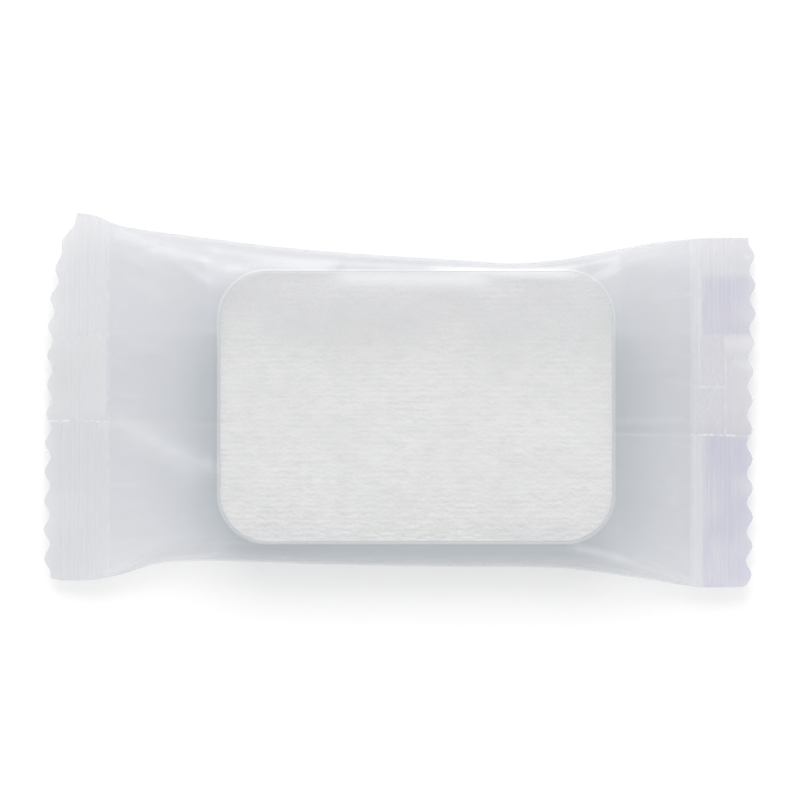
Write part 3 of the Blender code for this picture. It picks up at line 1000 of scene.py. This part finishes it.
    def tube_block(self) -> list[Array]:
        """Points of the stations between the seals."""
        ends = self.stack_low.x - self.slope_start, self.stack_high.x + self.slope_start
        stations = np.concatenate([
            np.linspace(self.left_seal, ends[0], self.hollow_rows + 1)[:-1],
            np.linspace(*ends, self.stack_rows + 1)[:-1],
            np.linspace(ends[1], self.right_seal, self.hollow_rows),
        ])
        on_top = soften((self.pieces == Piece.TOP.value).astype(float), 1.5)
        block = []
        for x in stations:
            y, z = self.section(x)
            along = np.full(len(y), x)
            z = z + on_top * self.slack(along, y, self.fullness(x))
            block.append(np.stack([along, y, z], axis=1))
        return block

    def marks(self, points: Array) -> dict[str, Array]:
        """Where the film is pressed, cracked, tinted lilac and clear, where painted highlights whiten it,
        and where painted shade darkens it near the pads.

        Args:
            points: Places on the film, by station and column.

        Returns:
            The shares on each place, by name.
        """
        x, y = points[..., 0], points[..., 1]
        out = np.maximum(self.left_seal - x, x - self.right_seal)
        press = ease(out, 0.6 * MM)
        right = x > 0.0
        flap = np.isin(self.pieces, (Piece.FLAP_UNDER.value, Piece.FLAP_OVER.value))
        in_seam = (y > self.seam_root(x)) & (y < self.seam_free_edge)
        film = self.finish
        standing_off = ease(y - 3.0 * MM, 9.0 * MM) + 0.5 * self.grain.at(x / (8.0 * MM), y / (5.0 * MM))
        touch = mix(film.veil_on_pads, film.veil_standing_off, np.clip(standing_off, 0.0, 1.0))
        veil = mix(film.veil, film.veil_pressed, press)
        veil = np.where(flap[None, :], mix(film.veil_flap, 0.12, press), veil)
        turn = (self.pieces == Piece.TURN.value).astype(float)
        veil = veil * (1.0 - np.maximum(self.edge_on, 0.5 * turn)[None, :] * (1.0 - press))
        below = ease(self.stack_low.y + 1.5 * MM - y, 3.0 * MM)
        below = below * (1.0 - ease(np.abs(x - self.block.x) - self.block.half_x + 3.0 * MM, 6.0 * MM))
        # Painted shade: the film darkens beside the stack, most in front of it and least behind it, standing
        # in for the stack's shadow.
        reach, depth = (
            mix(np.where(right, to_right, to_left), to_front, below)
            for to_left, to_right, to_front in (self.shade_reach, self.shade_depth)
        )
        depth = depth * np.clip((self.stack_high.y + 2.5 * MM - y) / (17.0 * MM), 0.0, 1.0)
        shade = depth * np.exp(-((self.block.aside(x, y) / reach) ** 1.3)) * ~flap[None, :]
        root_line = bell(y - self.seam_root(x), 0.13 * MM) * press
        sparkle = np.clip(self.fine.at(x / (0.45 * MM), y / (1.2 * MM)) + 0.5, 0.15, 1.0)
        gap = 1.0 - ease(out - 3.0 * MM, 0.5 * MM) * ease(5.9 * MM - out, 0.5 * MM) * ~right
        crack_and_highlight = self.root_white * root_line * sparkle * mix(0.3, 1.0, gap)
        patchy = np.clip(0.7 + 0.7 * self.fine.at(x / (0.8 * MM), y / (0.9 * MM)), 0.15, 1.0)
        for stroke in self.strokes:
            crack_and_highlight = np.maximum(crack_and_highlight, patchy * stroke.mark(x, y))
        for end in End:
            crack_and_highlight = np.maximum(crack_and_highlight, self.crimp_white * press * self.crimped(x, y, end))
            crack_and_highlight = np.maximum(crack_and_highlight, self.net_white * press * in_seam * self.netted(x, y, end))
        crack_and_highlight = np.maximum(crack_and_highlight, self.fold_white * press * in_seam * ~right)
        uneven = 0.92 + 0.12 * self.fine.at(x / (1.8 * MM), y / (1.2 * MM))
        # Painted highlights: the gleams are added to the crack whitening.
        for gleam in self.gleams:
            crack_and_highlight = np.maximum(crack_and_highlight, uneven * gleam.mark(x, y))
        crack_and_highlight = crack_and_highlight * self.upward[None, :]
        outer = ease(out - self.lilac_start, 0.9 * MM) * ease(self.lilac_top - y, 2.0 * MM)
        outer = outer * right * ~in_seam
        outer = outer * np.clip(0.85 + 0.4 * self.grain.at(x / (2.0 * MM), y / (3.0 * MM)), 0.0, 1.0)
        # The lower part of the left seal is darkened a little through the same shade mark.
        lower = ease(-2.0 * MM - y, 2.0 * MM) * ~right * press
        return {
            "press": press,
            "crack_and_highlight": crack_and_highlight,
            "lilac": np.maximum(outer, 0.18 * press * right),
            "veil": veil,
            "touch": np.where(flap[None, :], film.veil_flap, touch),
            "shade": np.maximum(shade * (1.0 - press), 0.10 * lower),
        }

    def build(self) -> bpy.types.Object:
        """Builds and dresses the film.

        Returns:
            The film's object, riding on the pack.
        """
        block = self.seal_block(End.LEFT)[::-1] + self.tube_block() + self.seal_block(End.RIGHT)
        points = np.array(block)
        rows, columns = points.shape[:2]
        marks = {name: share.ravel() for name, share in self.marks(points).items()}
        film = add_mesh("film_skin", points.reshape(-1, 3), grid_quads(rows, columns), marks)
        film.data.materials.append(self.finish.material(self.block))
        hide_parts("film_wrapper")
        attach(film, "root")
        return film


@dataclass
class CottonPad:
    """One pressed pad: a rounded rectangle with a soft pressed rim and crepe ripples."""

    node: str
    finish: bpy.types.Material
    corner: float = 6.7 * MM
    rim: float = 0.35 * MM
    cell: float = 1.0 * MM
    ripple: float = 0.03 * MM
    lights: tuple[Stroke, ...] = ()

    def axis(self, half: float) -> Array:
        """Places from one edge to the other, closer together at the rims."""
        rim = self.rim * np.array([0.0, 0.06, 0.16, 0.32, 0.55, 0.8, 1.15])
        inner = np.linspace(-half + rim[-1], half - rim[-1], max(6, int(2 * half / self.cell)))
        return np.concatenate([-half + rim[:-1], inner, half - rim[:-1][::-1]])

    def build(self) -> bpy.types.Object:
        """Builds and dresses the pad.

        Returns:
            The pad's object, riding on the pack.
        """
        low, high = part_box(self.node)
        middle, half = (low + high) / 2, (high - low) / 2
        v = self.axis(half.y)[:, None]
        u = self.axis(half.x)[None, :] / half.x
        into_corner = np.maximum(np.abs(v) - (half.y - self.corner), 0.0)
        reach = half.x - self.corner + np.sqrt(np.maximum(self.corner**2 - into_corner**2, 0.0))
        x, y = u * reach, v + 0.0 * u
        corner_x = np.maximum(np.abs(x) - (half.x - self.corner), 0.0)
        corner_y = np.maximum(np.abs(y) - (half.y - self.corner), 0.0)
        inward = self.corner - np.hypot(corner_x, corner_y)
        inward = np.minimum(inward, np.minimum(half.x - np.abs(x), half.y - np.abs(y)))
        share = np.clip(inward / self.rim, 0.0, 1.0)
        swell = (1.0 - (1.0 - share) ** 2.2) ** (1 / 2.2)
        grain, broad = Grain(31), Grain(37)
        warp = 1.6 * broad.at(x / (9.0 * MM), y / (9.0 * MM))
        crepe = grain.at(x / (4.2 * MM) + 9.0, y / (0.85 * MM) + warp)
        crepe = crepe + 0.5 * grain.at(x / (1.9 * MM), y / (0.5 * MM) + 2.0 * warp)
        uneven = self.ripple * crepe + 0.05 * MM * broad.at(x / (11.0 * MM) + 3.0, y / (8.0 * MM))
        top = middle.z + (half.z - 0.04 * MM) * swell + np.minimum(uneven, 0.08 * MM) * share
        base = middle.z - (half.z - 0.04 * MM) * swell + 0.3 * uneven * share
        x, y = x + middle.x, y + middle.y
        rows, columns = x.shape
        points = np.concatenate([
            np.stack([x, y, top], axis=2).reshape(-1, 3),
            np.stack([x, y, base], axis=2).reshape(-1, 3),
        ])
        quads = np.concatenate([
            grid_quads(rows, columns, flip=True),
            grid_quads(rows, columns, start=rows * columns),
        ])
        # Painted highlight: the rim, and the far edge's light band, go towards the light rim colour.
        rim = 1.0 - ease(inward, 0.4 * MM)
        for stroke in self.lights:
            rim = np.maximum(rim, 0.75 * stroke.mark(x, y))
        rippled = mix(1.0, 0.3, ease(y - middle.y + 5.0 * MM, 18.0 * MM))
        rippled = np.clip(rippled + 0.35 * broad.at(x / (7.0 * MM), y / (5.0 * MM)), 0.0, 1.0)
        # Painted shade of the crowned top: darker towards the back and the front and near the edges.
        across = (y - middle.y) / MM
        crown_shade = 0.6 * ease(across - 1.0, 10.0) + np.clip((-8.5 - across) / 11.0, 0.0, 1.0)
        crown_shade = 0.8 * crown_shade + 0.25 * (1.0 - ease(inward, 3.0 * MM))
        marks = {"rim": rim, "crepe": rippled, "crown_shade": crown_shade}
        marks = {name: np.tile(share.ravel(), 2) for name, share in marks.items()}
        pad = add_mesh(self.node.replace("cotton_pad", "pressed_pad"), points, quads, marks)
        join = pad.modifiers.new("Rim", "WELD")
        join.merge_threshold = 0.001 * MM
        pad.data.materials.append(self.finish)
        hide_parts(self.node)
        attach(pad, "root")
        return pad


@dataclass
class PadStack:
    """The pads, from the lowest up; the top one has the finest mesh."""

    finish: PressedCotton = field(default_factory=PressedCotton)
    top_cell: float = 0.36 * MM

    def build(self) -> list[bpy.types.Object]:
        """Builds every pad.

        Returns:
            The pads' objects, from the lowest up.
        """
        material = self.finish.material()
        names = sorted(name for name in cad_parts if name.startswith("cotton_pad"))
        pads = [CottonPad(name, material) for name in names]
        pads[-1].cell, pads[-1].lights = self.top_cell, FAR_EDGE_LIGHT
        return [pad.build() for pad in pads]


@dataclass
class Studio:
    """A pale floor, a pale sky, two soft lights and the photograph's view."""

    floor_side: float = 3.0
    floor_white: float = 0.8
    floor_glow: float = 0.28
    sky: float = 0.62
    key_power: float = 3.0
    key_side: float = 0.55
    key_place: Triple = (-0.05, 0.50, 0.62)
    fill_power: float = 1.0
    fill_side: float = 0.6
    fill_place: Triple = (0.08, -0.60, 0.40)
    lens: float = 420.0
    sensor: float = 36.0
    tilt: float = math.radians(2.0)
    look_at: Triple = (0.0, -0.14 * MM, 4.5 * MM)
    clear_layers: int = 32

    def seen_directly(self, board: NodeBoard) -> Socket:
        """One for rays from the camera, a mirror or clear film, and zero for light."""
        path = board.add("ShaderNodeLightPath")
        both = board.reckon("MAXIMUM", path.outputs["Is Camera Ray"], path.outputs["Is Glossy Ray"])
        return board.reckon("MAXIMUM", both, path.outputs["Is Transmission Ray"])

    def lay_floor(self) -> bpy.types.Object:
        """The pale floor, which shows white and keeps the pack's shadow."""
        half = 0.5 * self.floor_side
        corners = np.array([(-half, -half, 0.0), (-half, half, 0.0), (half, -half, 0.0), (half, half, 0.0)])
        floor = add_mesh("floor", corners - (0.0, 0.0, 0.05 * MM), grid_quads(2, 2, flip=True), {})
        made, board, surface = new_board("floor_white")
        board.dress(surface, {
            "Base Color": (self.floor_white,) * 3,
            "Roughness": 1.0,
            "Specular IOR Level": 0.0,
            "Emission Color": (1.0, 1.0, 1.0),
            "Emission Strength": board.times(self.seen_directly(board), self.floor_glow),
        })
        floor.data.materials.append(made)
        return floor

    def hang_sky(self) -> None:
        """Even pale light from all round, shown as white."""
        world = bpy.data.worlds.new("studio")
        world.use_nodes = True
        bpy.context.scene.world = world
        board = NodeBoard(world.node_tree)
        level = board.add("ShaderNodeMapRange", Value=self.seen_directly(board), To_Min=self.sky, To_Max=1.0)
        board.dress(world.node_tree.nodes["Background"], {
            "Color": (1.0, 1.0, 1.0),
            "Strength": level.outputs["Result"],
        })

    def hang_lamp(self, name: str, place: Triple, side: float, power: float) -> bpy.types.Object:
        """A square soft light aimed at the pack.

        Args:
            name: The light's name.
            place: Where it hangs.
            side: Length of its side.
            power: Its power in watts.

        Returns:
            The light's object.
        """
        light = bpy.data.lights.new(name, "AREA")
        light.shape = "SQUARE"
        light.size = side
        light.energy = power
        lamp = bpy.data.objects.new(name, light)
        bpy.context.scene.collection.objects.link(lamp)
        lamp.location = place
        lamp.rotation_mode = "QUATERNION"
        lamp.rotation_quaternion = Vector(place).to_track_quat("Z", "Y")
        return lamp

    def set_camera(self) -> bpy.types.Object:
        """The camera above the pack, so that a pixel covers what it covers in the photograph."""
        lens = bpy.data.cameras.new("camera")
        lens.lens = self.lens
        lens.sensor_width = self.sensor
        lens.clip_start = 0.01
        camera = bpy.data.objects.new("camera", lens)
        bpy.context.scene.collection.objects.link(camera)
        distance = PHOTO_SIDE_PX * PHOTO_SCALE * self.lens / self.sensor
        back = Vector((0.0, -math.sin(self.tilt), math.cos(self.tilt)))
        camera.location = Vector(self.look_at) + back * distance
        camera.rotation_mode = "QUATERNION"
        camera.rotation_quaternion = back.to_track_quat("Z", "Y")
        bpy.context.scene.camera = camera
        return camera

    def build(self) -> None:
        """Lays the floor, hangs the lights and sets the camera."""
        self.lay_floor()
        self.hang_sky()
        self.hang_lamp("key", self.key_place, self.key_side, self.key_power)
        self.hang_lamp("fill", self.fill_place, self.fill_side, self.fill_power)
        self.set_camera()
        scene = bpy.context.scene
        scene.view_settings.view_transform = "Standard"
        scene.cycles.transparent_max_bounces = self.clear_layers


def main() -> None:
    """Builds the pads, the film and the studio, and notes the sizes."""
    logging.basicConfig(level=logging.INFO, format="%(name)s: %(message)s")
    for pad in PadStack().build():
        LOG.info("%s: %d faces", pad.name, len(pad.data.polygons))
    film = FilmWrapper().build()
    LOG.info("%s: %d faces", film.name, len(film.data.polygons))
    Studio().build()
    LOG.info("studio: floor, sky, two lights and camera")


if __name__ == "__main__":
    main()
